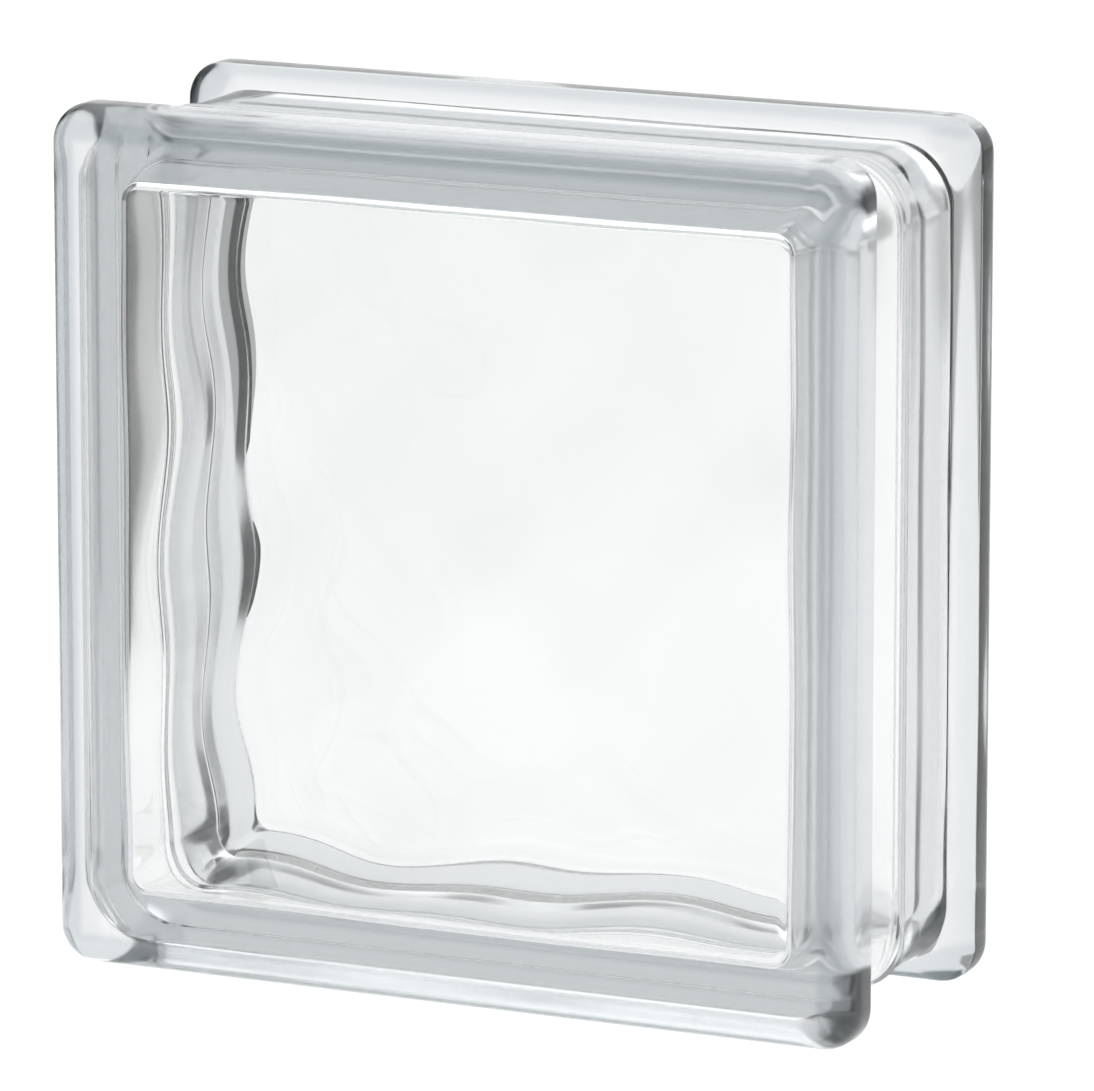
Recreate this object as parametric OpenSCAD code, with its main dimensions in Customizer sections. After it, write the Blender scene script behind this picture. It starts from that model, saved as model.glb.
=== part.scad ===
// A hollow glass block for walls. Two pressed glass shells are fused at mid depth
// into one piece around a sealed hollow. The block stands upright as it is laid,
// with its faces towards -Y and +Y and its lower rims on Z = 0.

/* [Block] */
// Width of the block across its face
block_width = 190; // [120:1:300]
// Height of the block
block_height = 190; // [120:1:300]
// Depth of the block from face to face
block_depth = 80; // [70:1:110]

/* [Rims] */
// Depth of the flat land on each rim, where the mortar bed bears
rim_land = 4; // [3:0.5:8]
// Radius of the rounding where a rim turns into its face
rim_round = 7; // [2:0.5:8]
// Corner radius of the rims, seen from the front
rim_corner = 8.5; // [8.5:0.5:14]

/* [Channel] */
// How far the mortar channel is set in from the rims
channel_inset = 5; // [3:0.5:7]
// Width of the slope on each side of the channel, from its floor up to the rim
channel_slope = 6; // [3:0.5:8]
// Corner radius of the channel floor, seen from the front
channel_corner = 13; // [9:0.5:18]
// Width of the bead where the two shells are fused
bead_width = 3; // [1:0.5:5]
// Height of the bead, above the channel floor and inside the hollow
bead_height = 0.5; // [0.2:0.1:0.8]

/* [Hollow] */
// Thickness of each face at the middle level of its waves
face_thickness = 7.5; // [6:0.5:10]
// Thickness of the walls at the seam
seam_wall = 5.5; // [4:0.5:9]
// How much further the walls reach in where they meet the faces
wall_taper = 5.5; // [2:0.5:8]
// Corner radius of the hollow at the faces, seen from the front
hollow_corner = 5; // [4.5:0.5:16]
// Radius of the fillet between the walls and the faces
hollow_fillet = 2.5; // [1.5:0.5:4]

/* [Waves] */
// Half the range of the waves on the inner side of each face
wave_height = 2; // [0.5:0.1:3]
// Length of the longest wave
wave_length = 110; // [60:5:160]

/* [Hidden] */

half_width = block_width / 2;
half_height = block_height / 2;
half_depth = block_depth / 2;
face_depth = half_depth - face_thickness;
land_start = half_depth - rim_round - rim_land;
floor_end = land_start - channel_slope;
seam_inset = channel_inset + seam_wall;
face_inset = seam_inset + wall_taper;

// Steps in each corner arc of the outer rings, in half the bead, in the slope of the channel and in a rounding
corner_steps = 10;
bead_steps = 2;
slope_steps = 6;
round_steps = 5;
// Steps across half of a corner and half of a straight side of the hollow
arc_steps = 3;
side_steps = 10;
fillet_steps = 3;

// Each wave: its direction in degrees, its length as a share of wave_length, its phase and its share of the height
WAVES = [
    [10, 1.00, 200, 0.44],
    [-50, 0.60, 60, 0.24],
    [75, 0.60, 160, 0.20],
    [45, 0.30, 200, 0.12]
];

// Level of the waves at a place on a face, from the middle of the face
function wave(x, z) = wave_height * waves_from(x, z, 0);
function waves_from(x, z, i) = i == len(WAVES) ? 0 :
    let (w = WAVES[i], across = x * cos(w[0]) + z * sin(w[0]))
    w[3] * sin(360 * across / (w[1] * wave_length) + w[2]) + waves_from(x, z, i + 1);

// Outline ring of the outside at depth y: a rounded square inset from the block's sides
function outer_ring(y, inset, corner) = [
    for (quarter = [0:3], step = [0:corner_steps])
    let (
        angle = 90 * (quarter + step / corner_steps),
        right = quarter == 0 || quarter == 3 ? 1 : -1,
        up = quarter < 2 ? 1 : -1
    )
    [
        right * (half_width - inset - corner) + corner * cos(angle),
        y,
        half_height + up * (half_height - inset - corner) + corner * sin(angle)
    ]
];

// Depth, inset and corner radius of each ring from the seam out to a face
function channel_ring(y, inset) =
    [y, inset, rim_corner + (channel_corner - rim_corner) * inset / channel_inset];
half_profile = [
    for (step = [0:bead_steps])
    let (share = step / bead_steps)
    channel_ring(
        bead_width / 2 * share,
        channel_inset - bead_height * (1 + cos(180 * share)) / 2
    ),
    for (step = [0:slope_steps])
    let (share = step / slope_steps)
    channel_ring(
        floor_end + channel_slope * share,
        channel_inset * (1 + cos(180 * share)) / 2
    ),
    for (step = [0:round_steps])
    let (angle = 90 * step / round_steps, inset = rim_round * (1 - cos(angle)))
    [half_depth - rim_round * (1 - sin(angle)), inset, rim_corner - inset]
];
profile = concat(
    [for (i = [len(half_profile) - 1:-1:1]) [-half_profile[i][0], half_profile[i][1], half_profile[i][2]]],
    half_profile
);

// Faces between rings of equal count, each ring following the last
function between(rings, count) = [
    for (r = [0:rings - 2], i = [0:count - 1])
    let (next = (i + 1) % count)
    each [
        [r * count + i, r * count + next, (r + 1) * count + next],
        [r * count + i, (r + 1) * count + next, (r + 1) * count + i]
    ]
];

module outside() {
    count = 4 * (corner_steps + 1);
    last = (len(profile) - 1) * count;
    polyhedron(
        points = [for (p = profile) each outer_ring(p[0], p[1], p[2])],
        faces = concat(
            [[for (i = [count - 1:-1:0]) i]],
            between(len(profile), count),
            [[for (i = [0:count - 1]) last + i]]
        ),
        convexity = 4
    );
}

// The hollow's rings and faces share one grid: lines close together at the corners, wider along the sides
grid_half = side_steps + arc_steps;
grid = 2 * grid_half;
function grid_place(i, half, corner) =
    let (n = abs(i - grid_half), side = i < grid_half ? -1 : 1)
    side * (n <= side_steps
        ? (half - corner) * n / side_steps
        : half - corner + corner * (n - side_steps) / arc_steps);

// Place of a grid point on a rounded square of the given half sizes
function grid_point(i, j, half_x, half_z, corner) =
    let (
        x = grid_place(i, half_x, corner),
        z = grid_place(j, half_z, corner),
        past = [abs(x) - half_x + corner, abs(z) - half_z + corner]
    )
    past[0] <= 0 || past[1] <= 0 ? [x, z] :
    let (out = past * max(past) / norm(past))
    [sign(x) * (half_x - corner + out[0]), sign(z) * (half_z - corner + out[1])];

// Grid places round the edge, anticlockwise from the front
function edge_place(i) =
    i < grid ? [i, 0] :
    i < 2 * grid ? [grid, i - grid] :
    i < 3 * grid ? [3 * grid - i, grid] : [0, 4 * grid - i];

// Place of a grid point of the hollow: side is -1 at the front and 1 at the back, back is how far it lies
// behind the middle level of the face's waves, and swell is how much of the wave it follows
function hollow_point(side, place, inset, back, swell) =
    let (
        corner = hollow_corner + face_inset - inset,
        p = grid_point(place[0], place[1], half_width - inset, half_height - inset, corner)
    )
    [p[0], side * (face_depth - back + swell * wave(side * p[0], p[1])), half_height + p[1]];

// The hollow's face on one side, as a grid out to where its fillet starts
function hollow_face(side) = [
    for (i = [0:grid], j = [0:grid])
    hollow_point(side, [i, j], face_inset + hollow_fillet, 0, 1)
];
function face_cells(first, front) = [
    for (i = [0:grid - 1], j = [0:grid - 1])
    let (a = first + i * (grid + 1) + j, b = a + grid + 1, c = b + 1, d = a + 1)
    each front ? [[a, d, c], [a, c, b]] : [[a, b, c], [a, c, d]]
];

// Inset, place behind the face and wave share of each ring from a face in to the seam
fillet_profile = [
    for (step = [0:fillet_steps])
    let (angle = 90 * step / fillet_steps)
    [face_inset + hollow_fillet * (1 - sin(angle)), hollow_fillet * (1 - cos(angle)), 1]
];
wall_rings = concat(
    [for (p = fillet_profile) [-1, p[0], p[1], p[2]]],
    [
        [-1, seam_inset, face_depth - bead_width / 2, 0],
        [1, seam_inset + bead_height, face_depth, 0],
        [1, seam_inset, face_depth - bead_width / 2, 0]
    ],
    [for (i = [fillet_steps:-1:0]) let (p = fillet_profile[i]) [1, p[0], p[1], p[2]]]
);

module hollow() {
    round_count = 4 * grid;
    face_count = (grid + 1) * (grid + 1);
    polyhedron(
        points = concat(
            [
                for (ring = wall_rings, i = [0:round_count - 1])
                hollow_point(ring[0], edge_place(i), ring[1], ring[2], ring[3])
            ],
            hollow_face(-1),
            hollow_face(1)
        ),
        faces = concat(
            between(len(wall_rings), round_count),
            face_cells(len(wall_rings) * round_count, true),
            face_cells(len(wall_rings) * round_count + face_count, false)
        ),
        convexity = 6
    );
}

// Both shells as one fused solid, with the hollow sealed inside
module glass_block() {
    color([0.86, 0.91, 0.91]) difference() {
        outside();
        hollow();
    }
}

glass_block();
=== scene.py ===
import math

import bmesh
import bpy
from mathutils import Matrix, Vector


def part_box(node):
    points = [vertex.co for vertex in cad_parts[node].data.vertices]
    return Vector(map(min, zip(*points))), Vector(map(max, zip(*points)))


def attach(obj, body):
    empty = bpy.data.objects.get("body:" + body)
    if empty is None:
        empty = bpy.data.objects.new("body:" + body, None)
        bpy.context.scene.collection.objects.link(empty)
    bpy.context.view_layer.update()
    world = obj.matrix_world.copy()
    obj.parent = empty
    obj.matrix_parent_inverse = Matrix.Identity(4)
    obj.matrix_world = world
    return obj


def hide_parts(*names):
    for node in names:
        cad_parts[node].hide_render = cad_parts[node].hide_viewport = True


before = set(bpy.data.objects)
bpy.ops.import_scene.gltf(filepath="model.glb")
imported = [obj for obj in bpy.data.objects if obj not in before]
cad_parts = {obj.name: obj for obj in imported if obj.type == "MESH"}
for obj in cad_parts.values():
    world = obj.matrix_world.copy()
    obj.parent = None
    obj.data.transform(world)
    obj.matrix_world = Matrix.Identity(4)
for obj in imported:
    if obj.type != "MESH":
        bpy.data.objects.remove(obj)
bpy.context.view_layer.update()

# ---------------------------------------------------------------------------------------------
# The block's outside. The real one is two shells of clear soda-lime glass, pressed in a mould and
# fused at mid depth while hot. Rounded rims stand out round both faces, and the mortar channel
# runs between them, with the fused seam as a low bead along its floor.

low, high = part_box("glass_block")
middle = (low + high) / 2
half_width = (high.x - low.x) / 2
half_depth = (high.y - low.y) / 2
half_height = (high.z - low.z) / 2

rim_land = 0.004
rim_round = 0.007
rim_corner = 0.0085
channel_inset = 0.005
channel_slope = 0.006
channel_corner = 0.013
bead_width = 0.003
bead_height = 0.0005
land_start = half_depth - rim_round - rim_land
floor_end = land_start - channel_slope


def rounded_square(inset, corner, side_steps=40, arc_steps=16):
    """Points round a rounded square inset from the block's sides, anticlockwise seen from the front."""
    points = []
    for quarter in range(4):
        right = 1 if quarter in (0, 3) else -1
        up = 1 if quarter < 2 else -1
        centre = Vector((right * (half_width - inset - corner), up * (half_height - inset - corner)))
        for step in range(arc_steps + 1):
            angle = math.pi / 2 * (quarter + step / arc_steps)
            points.append(centre + corner * Vector((math.cos(angle), math.sin(angle))))
        side_end = points[-1].copy()
        if quarter % 2 == 0:
            side_end.x = -right * (half_width - inset - corner)
        else:
            side_end.y = -up * (half_height - inset - corner)
        points += [points[-1].lerp(side_end, step / side_steps) for step in range(1, side_steps)]
    return points


def ease(share):
    """Share from 0 to 1 that starts and ends level."""
    return (1 - math.cos(math.pi * share)) / 2


def channel_ring(y, inset):
    """A ring of the channel, whose corners grow rounder as it goes in."""
    return y, inset, rim_corner + (channel_corner - rim_corner) * inset / channel_inset


def outside_rings():
    """Depth, inset and corner radius of each ring of the outside, from the front face to the back."""
    half = []
    bead_steps = 6
    for step in range(bead_steps + 1):
        share = step / bead_steps
        half.append(channel_ring(bead_width / 2 * share, channel_inset - bead_height * (1 - ease(share))))
    slope_steps = 20
    for step in range(slope_steps + 1):
        share = step / slope_steps
        half.append(channel_ring(floor_end + channel_slope * share, channel_inset * (1 - ease(share))))
    round_steps = 16
    for step in range(round_steps + 1):
        angle = math.pi / 2 * step / round_steps
        inset = rim_round * (1 - math.cos(angle))
        half.append((half_depth - rim_round * (1 - math.sin(angle)), inset, rim_corner - inset))
    # A thin ring on the face keeps its shading flat up to the rounding
    flat_edge = 0.0003
    half.append((half_depth, rim_round + flat_edge, rim_corner - rim_round - flat_edge))
    return [(-y, inset, corner) for y, inset, corner in half[:0:-1]] + half


def skin(rings):
    """Quads between rings of vertices, each ring given as a list of vertices behind the last one."""
    for front, back in zip(rings, rings[1:]):
        for i in range(len(front)):
            bm.faces.new((front[i - 1], back[i - 1], back[i], front[i]))


bm = bmesh.new()
outside = [
    [bm.verts.new(middle + Vector((point.x, y, point.y))) for point in rounded_square(inset, corner)]
    for y, inset, corner in outside_rings()
]
skin(outside)
bm.faces.new(outside[0])
bm.faces.new(outside[-1][::-1])

# ---------------------------------------------------------------------------------------------
# The sealed hollow. The plunger that pressed each shell left its inner side: walls that taper in
# towards the face, a small fillet, and long waves across the face itself. A bead of squeezed glass
# runs round the walls where the two shells met.

face_thickness = 0.0075
seam_wall = 0.0055
wall_taper = 0.0055
hollow_corner = 0.005
hollow_fillet = 0.0025
wave_height = 0.002
wave_length = 0.110
face_depth = half_depth - face_thickness
seam_inset = channel_inset + seam_wall
face_inset = seam_inset + wall_taper

# Each wave: its direction in degrees, its share of the wave length, its phase and its share of the height
WAVES = ((10, 1.00, 200, 0.44), (-50, 0.60, 60, 0.24), (75, 0.60, 160, 0.20), (45, 0.30, 200, 0.12))

# Steps of the hollow's grid across half a straight side and half a corner
side_steps = 60
arc_steps = 6
grid = 2 * (side_steps + arc_steps)


def wave(x, z):
    """Level of the waves at a place on a face, from the middle level of the face."""
    level = 0
    for direction, length, phase, share in WAVES:
        along = x * math.cos(math.radians(direction)) + z * math.sin(math.radians(direction))
        level += share * math.sin(math.tau * along / (length * wave_length) + math.radians(phase))
    return wave_height * level


def grid_line(i, half, corner):
    """Place of a grid line: close together across the corner, wider along the side."""
    steps = abs(i - grid // 2)
    place = (half - corner) * steps / side_steps
    if steps > side_steps:
        place = half - corner + corner * (steps - side_steps) / arc_steps
    return math.copysign(place, i - grid // 2)


def hollow_vertex(side, i, j, inset, back, swell):
    """Vertex of the hollow: side is -1 at the front and 1 at the back, back is how far it lies behind
    the middle level of the waves, and swell is how much of the wave it follows."""
    corner = hollow_corner + face_inset - inset
    straight = Vector((half_width - inset - corner, half_height - inset - corner))
    x = grid_line(i, half_width - inset, corner)
    z = grid_line(j, half_height - inset, corner)
    past = Vector((abs(x), abs(z))) - straight
    if min(past) > 0:
        past *= max(past) / past.length
        x = math.copysign(straight.x + past.x, x)
        z = math.copysign(straight.y + past.y, z)
    y = side * (face_depth - back + swell * wave(side * x, z))
    return bm.verts.new(middle + Vector((x, y, z)))


def wall_rings():
    """Inset, place behind the face and wave share of each ring, from a face in to the seam."""
    rings = []
    fillet_steps = 8
    for step in range(fillet_steps + 1):
        angle = math.pi / 2 * step / fillet_steps
        inset = face_inset + hollow_fillet * (1 - math.sin(angle))
        rings.append((inset, hollow_fillet * (1 - math.cos(angle)), 1))
    wall_end = face_depth - bead_width / 2
    wall_steps = 12
    for step in range(1, wall_steps + 1):
        share = step / wall_steps
        back = hollow_fillet + (wall_end - hollow_fillet) * share
        rings.append((face_inset - wall_taper * share, back, 1 - share))
    bead_steps = 6
    for step in range(1, bead_steps + 1):
        share = step / bead_steps
        rings.append((seam_inset + bead_height * ease(share), wall_end + bead_width / 2 * share, 0))
    return rings


edge = (
    [(i, 0) for i in range(grid)] + [(grid, i) for i in range(grid)]
    + [(grid - i, grid) for i in range(grid)] + [(0, grid - i) for i in range(grid)]
)
front_rings = [(-1, *ring) for ring in wall_rings()]
back_rings = [(1, *ring) for ring in wall_rings()[-2::-1]]
hollow = [
    [hollow_vertex(side, i, j, inset, back, swell) for i, j in edge]
    for side, inset, back, swell in front_rings + back_rings
]
# The hollow's skin faces inwards, away from the glass
for ring in hollow:
    ring.reverse()
skin(hollow)
for side in (-1, 1):
    verts = [
        [hollow_vertex(side, i, j, face_inset + hollow_fillet, 0, 1) for j in range(grid + 1)]
        for i in range(grid + 1)
    ]
    for left, right in zip(verts, verts[1:]):
        for j in range(grid):
            corners = (left[j], left[j + 1], right[j + 1], right[j])
            bm.faces.new(corners if side < 0 else corners[::-1])
touching = 1e-7
bmesh.ops.remove_doubles(bm, verts=bm.verts, dist=touching)

mesh = bpy.data.meshes.new("pressed_glass")
bm.to_mesh(mesh)
bm.free()
mesh.shade_smooth()
scene = bpy.context.scene
block = bpy.data.objects.new("pressed_glass_block", mesh)
scene.collection.objects.link(block)
# Clear glass hardly shades a table lit from all sides, so the table top is lit as if it stood alone
block.visible_diffuse = False

# ---------------------------------------------------------------------------------------------
# The glass itself. Plain soda-lime glass is clear, and a little blue-grey through its thick edges.
# The faces are fire-polished, with a breath of haze in soft patches. The rims and the channel keep
# the satin of the mould, and the rims' grey tint is painted shade, standing in for the dim room they show.


class Wire:
    """A socket of a node tree. Sums and products on it add their Math nodes."""

    def __init__(self, tree, socket=None):
        self.tree = tree
        self.socket = socket

    def add(self, kind, settings, inputs, output=0):
        """A new node: its settings are made first, then its sockets are set or linked."""
        node = self.tree.nodes.new(kind)
        for name, value in settings.items():
            setattr(node, name, value)
        for name, value in inputs.items():
            if isinstance(value, Wire):
                self.tree.links.new(value.socket, node.inputs[name])
            else:
                node.inputs[name].default_value = value
        return Wire(self.tree, node.outputs[output])

    def maths(self, operation, first, second):
        return self.add("ShaderNodeMath", {"operation": operation}, {0: first, 1: second})

    def __add__(self, other):
        return self.maths("ADD", self, other)

    def __radd__(self, other):
        return self.maths("ADD", other, self)

    def __sub__(self, other):
        return self.maths("SUBTRACT", self, other)

    def __rsub__(self, other):
        return self.maths("SUBTRACT", other, self)

    def __mul__(self, other):
        return self.maths("MULTIPLY", self, other)

    def __rmul__(self, other):
        return self.maths("MULTIPLY", other, self)

    def __abs__(self):
        return self.add("ShaderNodeMath", {"operation": "ABSOLUTE"}, {0: self})

    def larger(self, other):
        return self.maths("MAXIMUM", self, other)

    def along(self, direction):
        """How far a place or a look reaches along a direction."""
        settings = {"operation": "DOT_PRODUCT"}
        return self.add("ShaderNodeVectorMath", settings, {0: self, 1: direction}, "Value")

    def fade(self, start, end):
        """A mask that rises smoothly from 0 at the start to 1 at the end."""
        settings = {"interpolation_type": "SMOOTHSTEP"}
        return self.add("ShaderNodeMapRange", settings, {"Value": self, "From Min": start, "From Max": end})


def new_material(name):
    """A material and its shader."""
    material = bpy.data.materials.new(name)
    material.use_nodes = True
    return material, material.node_tree.nodes["Principled BSDF"]


glass, shader = new_material("clear_pressed_glass")
wire = Wire(glass.node_tree)
place = wire.add("ShaderNodeTexCoord", {}, {}, "Object")
shader.inputs["IOR"].default_value = 1.5
shader.inputs["Transmission Weight"].default_value = 1

haze_scale = 14
haze_starts = 0.45
haze_full = 0.75
haze_roughness = 0.02
satin_roughness = 0.14
haze = wire.add("ShaderNodeTexNoise", {}, {"Vector": place, "Scale": haze_scale, "Detail": 0})
from_middle = abs(place.along((1, 0, 0))).larger(abs(place.along((0, 0, 1)) - middle.z))
satin_starts = half_width - 0.0085
satin_full = half_width - 0.0065
satin = from_middle.fade(satin_starts, satin_full)
roughness = haze_roughness * haze.fade(haze_starts, haze_full) + satin_roughness * satin
wire.tree.links.new(roughness.socket, shader.inputs["Roughness"])

# Painted shade: the rims' colour is tinted grey so that they look darker, as if shaded by the dim room
rim_shade_starts = floor_end - 0.001
rim_shade_full = floor_end + 0.004
rim_shade_mask = satin * abs(place.along((0, 1, 0))).fade(rim_shade_starts, rim_shade_full)
rim_shade_mix = {"Factor": rim_shade_mask, "A": (1, 1, 1, 1), "B": (0.72, 0.75, 0.77, 1)}
shaded_skin_colour = wire.add("ShaderNodeMix", {"data_type": "RGBA"}, rim_shade_mix, "Result")
wire.tree.links.new(shaded_skin_colour.socket, shader.inputs["Base Color"])

edge_tint = {"Color": (0.40, 0.45, 0.47, 1), "Density": 13}
tint = wire.add("ShaderNodeVolumeAbsorption", {}, edge_tint, "Volume")
wire.tree.links.new(tint.socket, wire.tree.nodes["Material Output"].inputs["Volume"])
mesh.materials.append(glass)
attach(block, "root")
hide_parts("glass_block")

# ---------------------------------------------------------------------------------------------
# The camera stands nearly two metres off, to the left of square and a little above, with a long
# lens. Its aim is a few millimetres off the block's middle.

azimuth = math.radians(25.3)
elevation = math.radians(12)
distance = 1.97
behind = Vector((-math.sin(azimuth), math.cos(azimuth), 0))
right = Vector((math.cos(azimuth), math.sin(azimuth), 0))
to_camera = Vector((0, 0, math.sin(elevation))) - behind * math.cos(elevation)
aim_right = 0.00536
aim_down = 0.00073
aim = middle + right * aim_right - right.cross(-to_camera) * aim_down
frame_width = 0.23629

lens = bpy.data.cameras.new("camera")
lens.sensor_width = 36
lens.lens = lens.sensor_width * distance / frame_width
camera = bpy.data.objects.new("camera", lens)
camera.location = aim + to_camera * distance
camera.rotation_euler = (-to_camera).to_track_quat("-Z", "Y").to_euler()
scene.collection.objects.link(camera)
scene.camera = camera

# ---------------------------------------------------------------------------------------------
# The table top, plain and matt. A strip of white paper runs out behind the block and widens as it
# goes, and its soft edges fade into pale grey card on both sides.


def quad(name, corners, material):
    """A flat staged sheet between four corners."""
    sheet = bpy.data.meshes.new(name)
    sheet.from_pydata(corners, [], [(0, 1, 2, 3)])
    sheet.materials.append(material)
    item = bpy.data.objects.new(name, sheet)
    scene.collection.objects.link(item)
    return item


table_reach = 150
strip_middle = 0.25
strip_half = 0.45
strip_edge = 0.3
strip_widening = 0.06
white_paper = (0.9, 0.9, 0.9, 1)
grey_card = (0.55, 0.55, 0.55, 1)
paper, shader = new_material("matt_paper")
wire = Wire(paper.node_tree)
place = wire.add("ShaderNodeTexCoord", {}, {}, "Object")
off_strip = abs(place.along(right) - strip_middle) - strip_widening * place.along(behind)
on_strip = off_strip.fade(strip_half + strip_edge, strip_half)
greys = {"Factor": on_strip, "A": grey_card, "B": white_paper}
paper_colour = wire.add("ShaderNodeMix", {"data_type": "RGBA"}, greys, "Result")
wire.tree.links.new(paper_colour.socket, shader.inputs["Base Color"])
shader.inputs["Roughness"].default_value = 0.9
shader.inputs["Specular IOR Level"].default_value = 0.1
table_corners = [(x * table_reach, y * table_reach, 0) for x, y in ((-1, -1), (1, -1), (1, 1), (-1, 1))]
quad("table_top", table_corners, paper)

# ---------------------------------------------------------------------------------------------
# Two cards stand on edge to the left behind the block, out of view, as glass is lit in a studio.
# The grey one tones the rims, and the black one draws a dark line where the left wall meets the back.

card_height = 0.3


def card(name, start, end, grey):
    """A card on edge between two places on the table, each given as how far to the right and behind."""
    height = Vector((0, 0, card_height))
    material, shader = new_material(name)
    shader.inputs["Base Color"].default_value = (grey, grey, grey, 1)
    shader.inputs["Roughness"].default_value = 1
    shader.inputs["Specular IOR Level"].default_value = 0
    low_left = right * start[0] + behind * start[1]
    low_right = right * end[0] + behind * end[1]
    item = quad(name, [low_left, low_right, low_right + height, low_left + height], material)
    item.visible_camera = False
    item.visible_shadow = False
    item.visible_diffuse = False


card("black_card", (-0.22, 0.39), (-0.39, 0.225), 0.01)
card("left_grey_card", (-0.24, 1.60), (-0.22, 0.39), 0.5)

# ---------------------------------------------------------------------------------------------
# The room: a large soft light fills the ceiling, a wide white screen behind the block and to its
# right lights the glass from the back, and the rest of the room is dim.

room = bpy.data.worlds.new("room")
scene.world = room
room.use_nodes = True
room.cycles.sampling_method = "NONE"
wire = Wire(room.node_tree)
screen_turn = math.radians(15)
to_screen = behind * math.cos(screen_turn) + right * math.sin(screen_turn)
room_light = 0.3
screen_light = 1.1
ceiling_light = 1.55
screen_edge = 0.4
screen_full = 0.7
ceiling_edge = 0.6
ceiling_full = 0.82
look = wire.add("ShaderNodeTexCoord", {}, {}, "Generated")
screen = look.along(to_screen).fade(screen_edge, screen_full)
ceiling = look.along((0, 0, 1)).fade(ceiling_edge, ceiling_full)
light = room_light + (screen_light - room_light) * screen + ceiling_light * ceiling
wire.tree.links.new(light.socket, wire.tree.nodes["Background"].inputs["Strength"])
wire.tree.nodes["Background"].inputs["Color"].default_value = (1, 1, 1, 1)

# Plain colours, and enough bounces for light that crosses many glass surfaces
scene.view_settings.view_transform = "Standard"
scene.cycles.max_bounces = 12
scene.cycles.glossy_bounces = 8
scene.cycles.transmission_bounces = 12
scene.cycles.diffuse_bounces = 3
